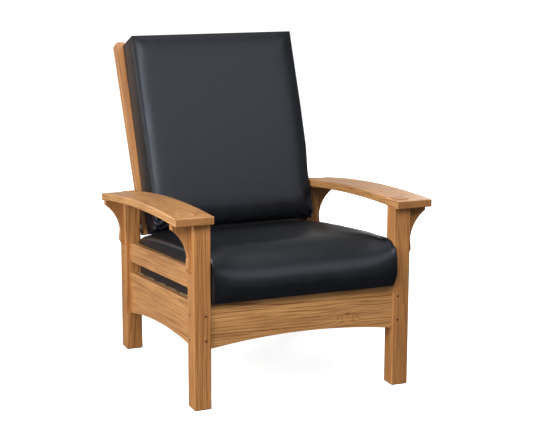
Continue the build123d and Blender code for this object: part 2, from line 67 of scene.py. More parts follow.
def addNode(tree, kind, settings=None, inputs=None):
    # one shader node, its settings, and its inputs as values or as other nodes' sockets
    node = tree.nodes.new("ShaderNode" + kind)
    for key, value in (settings or {}).items():
        setattr(node, key, value)
    for key, value in (inputs or {}).items():
        if isinstance(value, bpy.types.NodeSocket):
            tree.links.new(value, node.inputs[key])
        else:
            node.inputs[key].default_value = value
    return node


def newMaterial(name):
    material = bpy.data.materials.new(name)
    material.use_nodes = True
    material.node_tree.nodes.clear()
    return material, material.node_tree


def finishMaterial(tree, shader):
    addNode(tree, "OutputMaterial", inputs={"Surface": shader.outputs[0]})


def maths(tree, operation, *values):
    # a number worked out from numbers or sockets
    return addNode(tree, "Math", {"operation": operation}, dict(enumerate(values))).outputs[0]


def vectorMaths(tree, operation, *values):
    # a vector, or for two operations a number, worked out from vectors
    node = addNode(tree, "VectorMath", {"operation": operation}, dict(enumerate(values)))
    return node.outputs["Value" if operation in ("LENGTH", "DOT_PRODUCT") else "Vector"]


def mapped(tree, value, within=(0.0, 1.0), result=(0.0, 1.0), ease="LINEAR"):
    # a value that runs within two limits, turned into a result that runs from first to last
    node = addNode(tree, "MapRange", {"interpolation_type": ease}, {
        "Value": value, "From Min": within[0], "From Max": within[1],
        "To Min": result[0], "To Max": result[1]})
    return node.outputs[0]


def shifted(tree, value, look):
    # a roughness that varies a little about a material's own
    low, high = look["roughShift"]
    return mapped(tree, value, result=(look["roughness"] + low, look["roughness"] + high))


def mixed(tree, factor, first, second):
    # two colours, mixed by a factor
    node = addNode(tree, "Mix", {"data_type": "RGBA"}, {0: factor, 6: first, 7: second})
    return node.outputs[2]


def stretched(tree, vector, scale):
    return addNode(tree, "Mapping", inputs={"Vector": vector, "Scale": scale}).outputs[0]


def noise(tree, vector, scale=1.0, detail=2.0, roughness=0.5):
    return addNode(tree, "TexNoise", inputs={
        "Vector": vector, "Scale": scale, "Detail": detail, "Roughness": roughness})


def bumped(tree, height, strengthAndMm, below=None):
    # fine relief, laid over another relief if one is given
    strength, depthMm = strengthAndMm
    inputs = {"Height": height, "Strength": strength, "Distance": depthMm / 1000}
    if below is not None:
        inputs["Normal"] = below
    return addNode(tree, "Bump", inputs=inputs).outputs[0]


def boxMiddle(node):
    low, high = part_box(node)
    return (Vector(low) + Vector(high)) / 2


# Woods

cherry = {
    "light": "#C8945B",        # earlywood, sawn and sanded along the grain
    "dark": "#74441F",         # latewood, a line a few millimetres wide
    "fleck": "#5E3618",        # short dark gum flecks and pores
    "ringMm": 8.0,             # width of a growth ring on the boards' faces
    "pithMm": 95.0,            # how far the boards were sawn from the heart
    "wanderMm": 5.0,           # how far a ring wanders along a board
    "streakMm": 2.8,           # fibre streaks, drawn coarser than real so that they show
    "streakLengthMm": 190.0,   # how long a streak is along the board
    "roughness": 0.40,         # satin lacquer
    "roughShift": (-0.05, 0.08),  # what a streak takes from it or adds to it
    "coat": 0.08,              # thin film of lacquer over the pores
    "lineStrength": 0.62,      # how dark a latewood line turns, 1 being the dark colour
    "endDark": 0.45,           # how much darker end grain is, 1 being the dark colour
}
legWood = dict(cherry, light="#BB834C", pithMm=260.0, ringMm=6.5, wanderMm=4.0, lineStrength=0.6, endDark=0.1)
railWood = dict(cherry, light="#C08C56", wanderMm=3.0, lineStrength=0.4)
slatWood = dict(cherry, light="#D9BE92", dark="#B08F60", fleck="#8A6A42", ringMm=9.0,
                roughness=0.62, coat=0.0)
pegWood = dict(cherry, light="#5A351B", dark="#3A210F", fleck="#2A170A", ringMm=2.0, pithMm=3.0,
               roughness=0.45)


# How boards are cut and drawn, the same for every wood
timber = {
    "lean": 0.02,                      # metres that the grain may lean off in a metre of board
    "pithShares": (0.8, 1.25),         # nearest and furthest heart, as shares of the wood's pithMm
    "trunkPlace": 9.0,                 # metres up or down the trunk that a board may come from
    "wanderPace": (9.0, 9.0, 2.2),     # waves per metre of the wandering, across and along
    "wanderStretch": 4,                # the noise seldom leaves the middle half of its range
    "lateSpread": (0.55, 0.92),        # where in a ring the latewood darkens
    "earlySpread": (0.95, 1.0),        # where the next ring's earlywood sets in
    "lineTones": (0.2, 1.0),           # strengths of the palest and the darkest latewood line
    "fleckScale": (1.3, 1.3, 2.5),     # how much finer flecks are than streaks
    "fleckSpread": (0.60, 0.74),       # where the noise turns into a fleck
    "fleckStrength": 0.42,
    "cloudPace": (16.0, 16.0, 3.0),    # waves per metre of the broad clouds of tone
    "middleSpread": (0.3, 0.7),        # the part of its range that noise fills
    "cloudTones": (-0.10, 0.22),       # least and most that a cloud darkens
    "streakTones": (-0.18, 0.66),      # least and most that a streak darkens
    "knotHeart": (0.93, 0.99),         # where the bell of a knot is its dark heart
    "knotStrength": 0.7,
    "endSpread": (0.75, 0.95),         # how squarely a face must lie across the grain to be an end
    "streakRelief": (0.18, 0.6),       # strength, and depth in millimetres
    "coatRoughness": 0.28,
}


def boardSpace(tree, place, wood, middle, grain, seed):
    # the board's own space: Z runs along the grain, and the heart of the tree is at X = Y = 0
    pick = np.random.default_rng(seed)
    lean = timber["lean"]
    turn = Vector(grain).normalized().rotation_difference(Vector((0, 0, 1)))
    leaning = Vector((pick.uniform(-lean, lean), pick.uniform(-lean, lean), 1)).normalized()
    turn = leaning.rotation_difference(Vector((0, 0, 1))) @ turn
    angle = pick.uniform(0, 2 * math.pi)
    heart = wood["pithMm"] / 1000 * pick.uniform(*timber["pithShares"])
    along = pick.uniform(-timber["trunkPlace"], timber["trunkPlace"])
    offset = Vector((heart * math.cos(angle), heart * math.sin(angle), along))
    board = addNode(tree, "Mapping", inputs={
        "Vector": place, "Rotation": turn.to_euler(), "Location": offset - turn @ Vector(middle)})
    return board.outputs[0]


def heartDistance(tree, wood, board):
    # distance from the heart, with rings that wander slowly along the board
    wander = noise(tree, stretched(tree, board, timber["wanderPace"]))
    centred = vectorMaths(tree, "SUBTRACT", wander.outputs["Color"], (0.5, 0.5, 0.5))
    sway = wood["wanderMm"] / 1000 * timber["wanderStretch"]
    swayed = vectorMaths(tree, "MULTIPLY_ADD", centred, (sway, sway, 0.0), board)
    return vectorMaths(tree, "LENGTH", vectorMaths(tree, "MULTIPLY", swayed, (1.0, 1.0, 0.0)))


def knotBell(tree, place, knot):
    # a bell-shaped amount about the middle of a knot
    away = vectorMaths(tree, "SUBTRACT", place, knot["middle"])
    shaped = vectorMaths(tree, "MULTIPLY", away, knot["narrowing"])
    far = vectorMaths(tree, "DOT_PRODUCT", shaped, shaped)
    return maths(tree, "EXPONENT", maths(tree, "MULTIPLY", far, -1.0))


def latewood(tree, wood, distance):
    # dark lines at the ends of the growth rings, of which no two are equally dark
    rings = maths(tree, "DIVIDE", distance, wood["ringMm"] / 1000)
    ring = maths(tree, "FRACT", rings)
    late = mapped(tree, ring, timber["lateSpread"], ease="SMOOTHERSTEP")
    early = mapped(tree, ring, timber["earlySpread"], (1.0, 0.0), ease="SMOOTHSTEP")
    ringTone = addNode(tree, "TexWhiteNoise", {"noise_dimensions": "1D"}, {"W": maths(tree, "FLOOR", rings)})
    toned = mapped(tree, ringTone.outputs["Value"], result=timber["lineTones"])
    return maths(tree, "MULTIPLY", maths(tree, "MULTIPLY", late, early), toned)


def woodMaterial(name, wood, middle, grain, seed, knot=None):
    # Lacquered timber: a solid of rings round a heart that runs beside the board, so that long
    # faces show lines and arches and end faces show curved rings, with streaks along the fibres
    material, tree = newMaterial(name)
    texture = addNode(tree, "TexCoord")
    place = texture.outputs["Object"]
    board = boardSpace(tree, place, wood, middle, grain, seed)
    distance = heartDistance(tree, wood, board)
    if knot:
        # fibres part round a knot, so the rings bulge there
        bulge = knotBell(tree, place, knot)
        distance = maths(tree, "MULTIPLY_ADD", bulge, knot["bulge"], distance)
    # streaks and flecks along the fibres, and broad clouds of tone across a board
    fibres = [1000 / wood[key] for key in ("streakMm", "streakMm", "streakLengthMm")]
    fleckFibres = [size * finer for size, finer in zip(fibres, timber["fleckScale"])]
    streak = noise(tree, stretched(tree, board, fibres), detail=3.0, roughness=0.6).outputs[0]
    fleck = noise(tree, stretched(tree, board, fleckFibres), detail=1.0).outputs[0]
    cloud = noise(tree, stretched(tree, board, timber["cloudPace"])).outputs[0]
    streakShade = mapped(tree, streak, timber["middleSpread"], timber["streakTones"])
    cloudShade = mapped(tree, cloud, timber["middleSpread"], timber["cloudTones"])
    lined = maths(tree, "MULTIPLY_ADD", latewood(tree, wood, distance), wood["lineStrength"], streakShade)
    depth = addNode(tree, "Math", {"operation": "ADD", "use_clamp": True}, {0: lined, 1: cloudShade})
    colour = mixed(tree, depth.outputs[0], linear(wood["light"]), linear(wood["dark"]))
    flecked = mapped(tree, fleck, timber["fleckSpread"], (0.0, timber["fleckStrength"]))
    colour = mixed(tree, flecked, colour, linear(wood["fleck"]))
    if knot:
        knotted = mapped(tree, bulge, timber["knotHeart"], (0.0, timber["knotStrength"]))
        colour = mixed(tree, knotted, colour, linear(wood["fleck"]))
    # sawn ends drink more lacquer and stay darker than the long faces
    facing = vectorMaths(tree, "DOT_PRODUCT", texture.outputs["Normal"], Vector(grain).normalized())
    ended = mapped(tree, maths(tree, "ABSOLUTE", facing), timber["endSpread"], (0.0, wood["endDark"]))
    colour = mixed(tree, ended, colour, linear(wood["dark"]))
    shader = addNode(tree, "BsdfPrincipled", inputs={
        "Base Color": colour, "Roughness": shifted(tree, streak, wood),
        "Normal": bumped(tree, streak, timber["streakRelief"]),
        "Coat Weight": wood["coat"], "Coat Roughness": timber["coatRoughness"]})
    finishMaterial(tree, shader)
    return material


# Leather, steel and nylon

leather = {
    "colour": "#0F1013",       # pigmented black hide, slightly blue where it shines
    "worn": "#131418",         # the same hide where it is rubbed
    "wornSpread": (0.35, 0.65),  # where on the waves the hide turns to worn
    "grainMm": 1.6,            # pebble of the grain, drawn coarser than real so that it shows
    "grainSmoothness": 0.6,    # how soft the valleys between pebbles are
    "grainRelief": (0.10, 0.3),  # strength, and depth in millimetres
    "roughness": 0.33,         # semi-matt finish
    "roughShift": (-0.04, 0.05),  # what a wave takes from it or adds to it
    "shine": 0.24,             # specular level of a dull finish
    "shineTint": "#E4EAFA",    # a faint blue
    "easeMm": 55.0,            # slow waves of the foam below
    "easeRelief": (0.25, 1.5),
}


def leatherMaterial():
    # Corrected-grain cowhide: finely pebbled, semi-matt, with a soft broad shine
    material, tree = newMaterial("black_leather")
    place = addNode(tree, "TexCoord").outputs["Object"]
    pebble = addNode(tree, "TexVoronoi", {"feature": "SMOOTH_F1"},
                     {"Vector": place, "Scale": 1000 / leather["grainMm"],
                      "Smoothness": leather["grainSmoothness"]})
    ease = noise(tree, place, 1000 / leather["easeMm"]).outputs[0]
    tone = mapped(tree, ease, leather["wornSpread"])
    waves = bumped(tree, ease, leather["easeRelief"])
    grain = bumped(tree, pebble.outputs["Distance"], leather["grainRelief"], waves)
    shader = addNode(tree, "BsdfPrincipled", inputs={
        "Base Color": mixed(tree, tone, linear(leather["colour"]), linear(leather["worn"])),
        "Roughness": shifted(tree, ease, leather), "Normal": grain,
        "Specular IOR Level": leather["shine"], "Specular Tint": linear(leather["shineTint"])})
    finishMaterial(tree, shader)
    return material


steel = {
    "colour": "#B4B4B2",
    "dull": 0.8,               # tone of the duller patches, as a share of the colour
    "roughness": 0.32,
    "roughShift": (-0.08, 0.10),
    "lineMm": 0.7,             # size of the marks in the polish
    "relief": (0.1, 0.2),      # their strength, and depth in millimetres
}
metals = {"turned_steel": steel, "zinc_plate": dict(steel, colour="#C6C6C2", roughness=0.38, lineMm=1.2)}


def metalMaterial(name):
    # Bare turned steel or bright zinc plate: grey metal with fine uneven polish
    metal = metals[name]
    material, tree = newMaterial(name)
    place = addNode(tree, "TexCoord").outputs["Object"]
    polish = noise(tree, place, 1000 / metal["lineMm"], detail=3.0).outputs[0]
    darker = [part * metal["dull"] for part in linear(metal["colour"])[:3]] + [1.0]
    shader = addNode(tree, "BsdfPrincipled", inputs={
        "Base Color": mixed(tree, polish, linear(metal["colour"]), darker), "Metallic": 1.0,
        "Roughness": shifted(tree, polish, metal), "Normal": bumped(tree, polish, metal["relief"])})
    finishMaterial(tree, shader)
    return material


nylon = {
    "light": "#E6E2D6",
    "dark": "#D8D3C4",
    "flowScale": 180.0,                      # waves per metre of the moulding flow
    "roughness": (0.40, 0.52),
    "scatter": 0.1,                          # share of the light that wanders inside
    "scatterMetres": (0.004, 0.004, 0.003),  # how far it wanders
}


def nylonMaterial():
    # Natural nylon: milky, waxy and slightly see-through, with faint moulding flow
    material, tree = newMaterial("natural_nylon")
    flow = noise(tree, addNode(tree, "TexCoord").outputs["Object"], nylon["flowScale"]).outputs[0]
    shader = addNode(tree, "BsdfPrincipled", inputs={
        "Base Color": mixed(tree, flow, linear(nylon["light"]), linear(nylon["dark"])),
        "Roughness": mapped(tree, flow, result=nylon["roughness"]),
        "Subsurface Weight": nylon["scatter"], "Subsurface Radius": nylon["scatterMetres"]})
    finishMaterial(tree, shader)
    return material


def setMaterial(node, material):
    mesh = nodes[node].data
    mesh.materials.clear()
    mesh.materials.append(material)


# Grain of each board, along its length

deckForward = Vector(joints["seat_cushion_lift"]["axis"])
backRise = Vector(joints["back_cushion_lift"]["axis"])
across = Vector((1, 0, 0))
upright = Vector((0, 0, 1))
# the first part of a node's name, and the direction of its grain
boards = {
    "leg_": upright, "corbel_front": upright, "corbel_rear": upright, "arm_": Vector((0, -1, 0.075)),
    "front_rail": across, "rear_rail": across, "side_rail": deckForward, "upper_side_rail": deckForward,
    "back_stile": backRise, "back_top": across, "back_bottom": across, "back_slat": across,
    "support_bar": across, "bar_rack": Vector((0, 1, 0)), "seat_cleat": deckForward, "seat_slat": across,
}
# the front rail's knot: how many times per metre its bell narrows, and how far the rings bulge
knot = {"middle": (0.154, -0.4831, 0.258), "narrowing": (26.0, 25.0, 46.0), "bulge": 0.034}
firstBoardSeed = 40
for seed, node in enumerate(sorted(nodes)):
    if node.endswith("pegs") or node == "corbel_dowels":
        grain = across if node.startswith(("side", "corbel")) else Vector((0, 1, 0))
        wood = slatWood if node == "corbel_dowels" else pegWood
        setMaterial(node, woodMaterial("wood_" + node, wood, (0, 0, 0), grain, seed))
    elif node.endswith("screws"):
        setMaterial(node, metalMaterial("zinc_plate"))
    elif node.startswith("pivot_pin"):
        setMaterial(node, metalMaterial("turned_steel"))
    elif node.startswith("pivot_spacer"):
        setMaterial(node, nylonMaterial())
    elif "cushion" not in node:
        grain = next(direction for start, direction in boards.items() if node.startswith(start))
        wood = slatWood if node.startswith(("seat_cleat", "seat_slat")) else cherry
        if node.startswith(("leg", "back_stile", "corbel")):
            wood = legWood
        if "side_rail" in node:
            wood = railWood
        knotHere = knot if node == "front_rail" else None
        boardSeed = firstBoardSeed + seed
        setMaterial(node, woodMaterial("wood_" + node, wood, boxMiddle(node), grain, boardSeed, knotHere))
print("woods and metals done")


# Cushions

roundDensity = 1.3   # points on a quarter round for each step that fits in its radius
cornerShare = 0.35   # how much of the first end's roundness its corners lose
cornerPower = 8      # how close to the corners that starts
tuckHeight = 0.4     # share of the thickness, from below, over which the first end tucks in
tuckBack = 0.6       # how far it tucks in along the cushion, as a share of across


def spread(half, radii, step):
    # places from -half to half: even steps on the flat, and tangents of even angles on the rounds
    low, high = -half + radii[0], half - radii[1]
    flat = np.linspace(low, high, max(2, int(math.ceil((high - low) / step))) + 1)
    turns = [max(4, int(math.ceil(radius * roundDensity / step))) for radius in radii]
    first, last = [np.tan(np.linspace(0, math.pi / 4, count + 1))[1:] for count in turns]
    return np.concatenate([low - radii[0] * first[::-1], flat, high + radii[1] * last])


def roundedBlock(half, radii, step, powers):
    # The surface of a block with rounded edges. Six grids cover the block, their shared borders
    # are merged, and each point moves out from the block's core along its own direction by the
    # radii of its side. The powers make the plan's corners, the first end's upper edge, the other
    # upper edges and the lower edges squarer than an ellipse, for which they are 2. Returns
    # points, faces and directions.
    places = [spread(h, r, step) for h, r in zip(half, radii)]
    points = []
    faces = []
    start = 0
    for axis in range(3):
        first, second = [other for other in range(3) if other != axis]
        u, v = np.meshgrid(places[first], places[second], indexing="ij")
        for side in (-1, 1):
            grid = np.empty(u.shape + (3,))
            grid[..., first] = u
            grid[..., second] = v
            grid[..., axis] = side * half[axis]
            index = start + np.arange(u.size).reshape(u.shape)
            quads = np.stack([index[:-1, :-1], index[1:, :-1], index[1:, 1:], index[:-1, 1:]], axis=-1)
            outward = side * (-1 if axis == 1 else 1)
            quads = quads.reshape(-1, 4)
            faces.append(quads if outward > 0 else quads[:, ::-1])
            points.append(grid.reshape(-1, 3))
            start += u.size
    points = np.concatenate(points)
    faces = np.concatenate(faces)
    _, keep, back = np.unique(np.round(points, 6), axis=0, return_index=True, return_inverse=True)
    points = points[keep]
    faces = back.reshape(-1)[faces]
    half = np.array(half)
    radii = np.array(radii)
    core = np.clip(points, -half + radii[:, 0], half - radii[:, 1])
    radius = np.where(points > core, radii[:, 1], radii[:, 0])
    direction = (points - core) / radius
    direction /= np.linalg.norm(direction, axis=1, keepdims=True)
    planPower, endPower, upperPower, lowerPower = powers
    level = np.hypot(direction[:, 0], direction[:, 1])
    endShare = np.clip(-direction[:, 1] / np.maximum(level, 1e-9), 0, 1) ** 2
    # the first end's edge grows squarer towards its two corners
    corner = cornerShare * np.abs(points[:, 0] / half[0]) ** cornerPower
    upperPower = upperPower + (endPower - upperPower) * endShare * (1 - corner)
    plan = np.abs(direction[:, :2]) / np.maximum(level, 1e-9)[:, None]
    planSum = np.maximum((plan ** planPower).sum(axis=1), 0.05)
    square = np.where(level > 1e-6, planSum ** (-1 / planPower), 1.0)
    power = np.where(direction[:, 2] > 0, upperPower, lowerPower)
    profile = (level ** power + np.abs(direction[:, 2]) ** power) ** (-1 / power)
    shift = direction * np.stack([square * profile, square * profile, profile], axis=1)
    return core + shift * radius, faces, direction


def bell(value, width):
    return np.exp(-(value / width) ** 2)


def coverShape(cushion, step):
    # A cushion in its own place: X across, Y along it from one end, Z up from its underside.
    # Its thickness follows a profile along Y, the upper face is a dome, steeper towards the
    # edges, and the sides draw in between the corners.
    half = (cushion["width"] / 2, cushion["length"] / 2, cushion["thickness"] / 2)
    points, faces, direction = roundedBlock(half, cushion["radii"], step, cushion["powers"])
    sideways, along, up = points.T
    place = along / cushion["length"] + 0.5
    high = up / cushion["thickness"] + 0.5
    acrossShare = np.clip(sideways / half[0], -1, 1)
    alongShare = np.clip(along / half[1], -1, 1)
    start = along + half[1]
    depth = cushion["thickness"] * np.interp(place, cushion["profilePlaces"], cushion["profileShares"])
    acrossPower, alongPower = cushion["domePowers"]
    dome = (1 - np.abs(acrossShare) ** acrossPower) * (1 - np.abs(alongShare) ** alongPower)
    # low down the first end tucks in, and its upper face falls away
    nearStart = np.clip(1 - start / cushion["startReach"], 0, 1) ** 2
    tuck = cushion["tuck"] * nearStart * np.clip(1 - high / tuckHeight, 0, 1) ** 2
    side = direction[:, 0] * np.abs(direction[:, 0])
    x = sideways * (1 - tuck / half[0]) - cushion["sidePull"] * (1 - alongShare ** 2) * side
    z = high * depth + (cushion["crown"] * dome - cushion["startDrop"] * nearStart) * high ** 2
    return np.stack([x, start + tuckBack * tuck, z], axis=1), faces, direction


# How the covers are filled, in metres and in the simulation's own units
filling = {
    "coarseStep": 0.014,       # spacing of the points that are simulated
    "fineStep": 0.007,         # spacing of the points that are kept
    "frames": 20,              # length of the simulation
    "quality": 6,
    "pointMass": 0.4,
    "pressure": 4.0,
    "stiffness": 30.0,
    "bending": 1.5,
    "carriers": 24,            # how many simulated points carry a point of the fine cover
    "carryReach": 0.022,       # within about what distance
    "fadeHeight": 0.04,        # height over which the moves grow from nothing
}


def swell(cushion, points, faces):
    # The cover is filled under pressure by a cloth simulation that holds its resting face still,
    # and no point may move further than the cap
    piece = meshFrom("cover_to_fill", points, faces, Matrix())
    held = piece.vertex_groups.new(name="held")
    for index in np.nonzero(points[:, 2] < cushion["heldBelow"])[0]:
        held.add([int(index)], 1.0, "REPLACE")
    cloth = piece.modifiers.new("filling", "CLOTH")
    settings = cloth.settings
    settings.quality = filling["quality"]
    settings.mass = filling["pointMass"]
    settings.tension_stiffness = filling["stiffness"]
    settings.compression_stiffness = filling["stiffness"]
    settings.shear_stiffness = filling["stiffness"] / 2
    settings.bending_stiffness = filling["bending"]
    settings.use_pressure = True
    settings.uniform_pressure_force = filling["pressure"]
    settings.vertex_group_mass = "held"
    settings.effector_weights.gravity = 0
    cloth.point_cache.frame_end = filling["frames"]
    for number in range(1, filling["frames"] + 1):
        bpy.context.scene.frame_set(number)
    filled = piece.evaluated_get(bpy.context.evaluated_depsgraph_get())
    after = np.empty(len(points) * 3, dtype=np.float32)
    filled.data.vertices.foreach_get("co", after)
    move = after.reshape(-1, 3) - points
    bpy.context.scene.frame_set(1)
    mesh = piece.data
    bpy.data.objects.remove(piece)
    bpy.data.meshes.remove(mesh)
    far = np.linalg.norm(move, axis=1, keepdims=True)
    print("swelling of", cushion["name"], "largest", round(float(far.max()) * 1000, 1), "mm")
    return move * np.tanh(far / cushion["cap"]) * cushion["cap"] / np.maximum(far, 1e-9)


def carryOver(coarse, moves, fine):
    # each fine point moves as the nearest coarse points do, the nearer the more
    tree = KDTree(len(coarse))
    for index, point in enumerate(coarse):
        tree.insert(point, index)
    tree.balance()
    found = [tree.find_n(point, filling["carriers"]) for point in fine]
    index = np.array([[hit[1] for hit in hits] for hits in found])
    distance = np.array([[hit[2] for hit in hits] for hits in found])
    weight = bell(distance, filling["carryReach"]) + 1e-6
    return (moves[index] * weight[..., None]).sum(axis=1) / weight.sum(axis=1, keepdims=True)


def surfaceNormals(points, faces):
    # normals of the points, as the sum of the normals of the faces round them
    corners = points[faces]
    flat = np.cross(corners[:, 2] - corners[:, 0], corners[:, 3] - corners[:, 1])
    total = np.zeros_like(points)
    for corner in range(4):
        np.add.at(total, faces[:, corner], flat)
    return total / np.maximum(np.linalg.norm(total, axis=1, keepdims=True), 1e-12)


def fitted(points, low, high):
    # stretched along each axis to the room that the cushion has
    least, most = points.min(axis=0), points.max(axis=0)
    return np.array(low) + (points - least) / (most - least) * (np.array(high) - np.array(low))


def cushionPoints(cushion):
    # the cover, filled, pressed flat where it rests, with its seams and puckers
    fine, faces, direction = coverShape(cushion, filling["fineStep"])
    coarse, coarseFaces, _ = coverShape(cushion, filling["coarseStep"])
    # the moves fade out towards the resting face
    above = np.clip((fine[:, 2:] - cushion["heldBelow"]) / filling["fadeHeight"], 0, 1)
    moves = carryOver(coarse, swell(cushion, coarse, coarseFaces), fine)
    fine = fine + moves * above * np.array(cushion["freedom"])
    fine = cushion["contacts"](fitted(fine, *cushion["room"]))
    # seams where the side panels meet the leather that wraps round the front
    turn = np.arcsin(np.clip(np.abs(direction[:, 0]), 0, 1))
    fromSeam = (turn - cushion["seamTurn"]) * cushion["radii"][0][0]
    relief = -cushion["seamDepth"] * bell(fromSeam, cushion["seamWidth"])
    relief = relief + cushion["puckers"](fine)
    return fine + surfaceNormals(fine, faces) * relief[:, None], faces


def meshFrom(name, points, faces, matrix):
    # a mesh object at the origin with its place in its points
    placed = points @ np.array(matrix.to_3x3()).T + np.array(matrix.translation)
    mesh = bpy.data.meshes.new(name)
    mesh.vertices.add(len(placed))
    mesh.vertices.foreach_set("co", placed.astype(np.float32).ravel())
    mesh.loops.add(faces.size)
    mesh.loops.foreach_set("vertex_index", faces.astype(np.int32).ravel())
    mesh.polygons.add(len(faces))
    mesh.polygons.foreach_set("loop_start", np.arange(0, faces.size, faces.shape[1], dtype=np.int32))
    mesh.polygons.foreach_set("use_smooth", np.ones(len(faces), dtype=bool))
    mesh.update(calc_edges=True)
    mesh.validate()
    piece = bpy.data.objects.new(name, mesh)
    bpy.context.scene.collection.objects.link(piece)
    return piece


def planeMatrix(origin, yAxis, zAxis):
    # a place whose Y and Z run along two directions
    xAxis = yAxis.cross(zAxis).normalized()
    turn = Matrix((xAxis, yAxis, zAxis)).transposed().to_4x4()
    return Matrix.Translation(origin) @ turn


# Room round the seat cushion: its widest half width along its length, between the front legs,
# the side rails and the rear legs; how far its right front corner swells ahead of the leg; and
# the height under the back cushion, with a low crown across
seatRoom = {
    "sides": ((0.0165, 0.074, 0.110, 0.698, 0.720), (0.3112, 0.3112, 0.3292, 0.3292, 0.3112)),
    "legFrontY": 0.0165, "bulgeStart": 0.0065, "frontBulge": 0.0075,
    "roof": ((0.0, 0.44, 0.60, 0.6617, 0.7150, 0.7606), (0.19, 0.157, 0.1444, 0.1374, 0.1193, 0.1005)),
    "roofCrown": 0.0065, "roofHalf": 0.335, "roofPower": 6,
}
# Room beside the back cushion: its right half width along its length, past the arm
backRoom = {
    "beside": ((0.0, 0.06, 0.17, 0.26, 0.40, 0.70), (0.2935, 0.2975, 0.2980, 0.3060, 0.3085, 0.3085)),
    "right": 0.3085,
}


def seatContacts(points):
    # flat on the deck, clear of the legs and side rails, and pressed down by the back cushion
    x, y, z = points.T
    limit = np.interp(y, *seatRoom["sides"])
    ahead = np.clip((seatRoom["legFrontY"] - y) / seatRoom["bulgeStart"], 0, 1)
    x = np.clip(x, -limit, limit + seatRoom["frontBulge"] * ahead)
    crown = seatRoom["roofCrown"] * (1 - (x / seatRoom["roofHalf"]) ** seatRoom["roofPower"])
    roof = np.interp(y, *seatRoom["roof"]) + crown
    return np.stack([x, y, np.clip(z, 0, roof)], axis=1)


def backContacts(points):
    # flat against the back frame, clear of the right arm, and set down on the seat cushion
    x, y, z = points.T
    beside = np.interp(y, *backRoom["beside"])
    x = np.where(x > 0, x * beside / backRoom["right"], x)
    return np.stack([x, np.maximum(y, 0), np.maximum(z, 0)], axis=1)


def noPuckers(points):
    return np.zeros(len(points))


# Folds at the back cushion's low corners: a fan of waves round a centre outside each corner
puckers = {
    "cornerX": 0.290,            # from the middle
    "cornerZ": 0.125,            # from the back frame
    "depths": (0.0058, 0.0040),  # on the left and the right
    "reach": 0.065,
    "folds": 15,                 # turns of the wave, in radians, for each radian of the fan
    "lean": 40,                  # and for each metre behind the corner
    "centreOut": 0.012,
    "centreBelow": 0.03,
    "depthTurn": 0.6,            # how much a point behind the corner counts as further round
    "depthReach": 0.5,           # and as further away
}


def backPuckers(points):
    # leather gathers in short folds that fan out from the two low corners of the front
    x, y, z = points.T
    relief = np.zeros(len(points))
    for side, depth in zip((-1, 1), puckers["depths"]):
        dx = np.abs(x - side * puckers["cornerX"])
        dz = np.abs(z - puckers["cornerZ"])
        out = dx + dz * puckers["depthTurn"] + puckers["centreOut"]
        fan = np.arctan2(out, y + puckers["centreBelow"])
        near = bell(np.sqrt(dx ** 2 + y ** 2 + puckers["depthReach"] * dz ** 2), puckers["reach"])
        relief += depth * near * np.sin(puckers["folds"] * fan + puckers["lean"] * dz + side)
    return relief


# The two cushions, in metres. Radii are given for the low and the high end of X, Y and Z, powers
# as roundedBlock takes them, and thickness shares along the length. Start is the first end of Y.
# Freedom is how much of a simulated move counts along X, Y and Z, and cap the furthest move.
# Room is what the cushion is fitted to, and contacts what it then gives way to.
hide = leatherMaterial()
seatCushion = {
    "name": "seat_cushion", "width": 0.6584, "length": 0.7606, "thickness": 0.157, "crown": 0.013,
    "radii": ((0.024, 0.024), (0.150, 0.030), (0.006, 0.120)), "powers": (4.5, 2.1, 10.0, 20.0),
    "domePowers": (3.0, 3.2), "startReach": 0.12, "startDrop": 0.0, "tuck": 0.016, "sidePull": 0.0,
    "freedom": (0.05, 0.15, 0.8),
    "profilePlaces": (0.0, 0.09, 0.16, 0.31, 0.58, 0.79, 0.87, 0.94, 1.0),
    "profileShares": (0.975, 0.98, 0.985, 1.0, 0.985, 0.92, 0.875, 0.76, 0.64),
    "cap": 0.009, "heldBelow": 0.010,
    "seamTurn": 1.25, "seamDepth": 0.0010, "seamWidth": 0.0016,
    "room": ((-0.3292, 0.0, 0.0), (0.3292, 0.7606, 0.171)),
    "contacts": seatContacts, "puckers": noPuckers,
}
backCushion = {
    "name": "back_cushion", "width": 0.602, "length": 0.692, "thickness": 0.122, "crown": 0.013,
    "radii": ((0.006, 0.006), (0.018, 0.006), (0.008, 0.007)), "powers": (3.0, 2.0, 2.0, 2.0),
    "domePowers": (15.0, 34.0), "startReach": 0.062, "startDrop": 0.018, "tuck": 0.0, "sidePull": 0.001,
    "freedom": (0.1, 0.15, 0.8),
    "profilePlaces": (0.0, 0.15, 0.5, 0.85, 1.0),
    "profileShares": (1.0, 1.0, 1.0, 1.0, 1.0),
    "cap": 0.004, "heldBelow": 0.012,
    "seamTurn": 0.8, "seamDepth": 0.0010, "seamWidth": 0.0014,
    "room": ((-0.3000, 0.0, 0.0), (0.3085, 0.692, 0.135)),
    "contacts": backContacts, "puckers": backPuckers,
}

# the seat cushion lies on the deck, with its front a little ahead of the front rail
softGap = 0.0004       # between a cushion and what it rests on
seatReach = 0.052      # from the back of the front rail to the cushion's front
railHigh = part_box("front_rail")[1]
seatNormal = Vector((0, deckForward.z, -deckForward.y))
seatOrigin = Vector((0, railHigh[1], railHigh[2])) + seatNormal * softGap + deckForward * seatReach
points, faces = cushionPoints(seatCushion)
seatPiece = meshFrom("seat_cushion", points, faces, planeMatrix(seatOrigin, -deckForward, seatNormal))
print("seat cushion done")

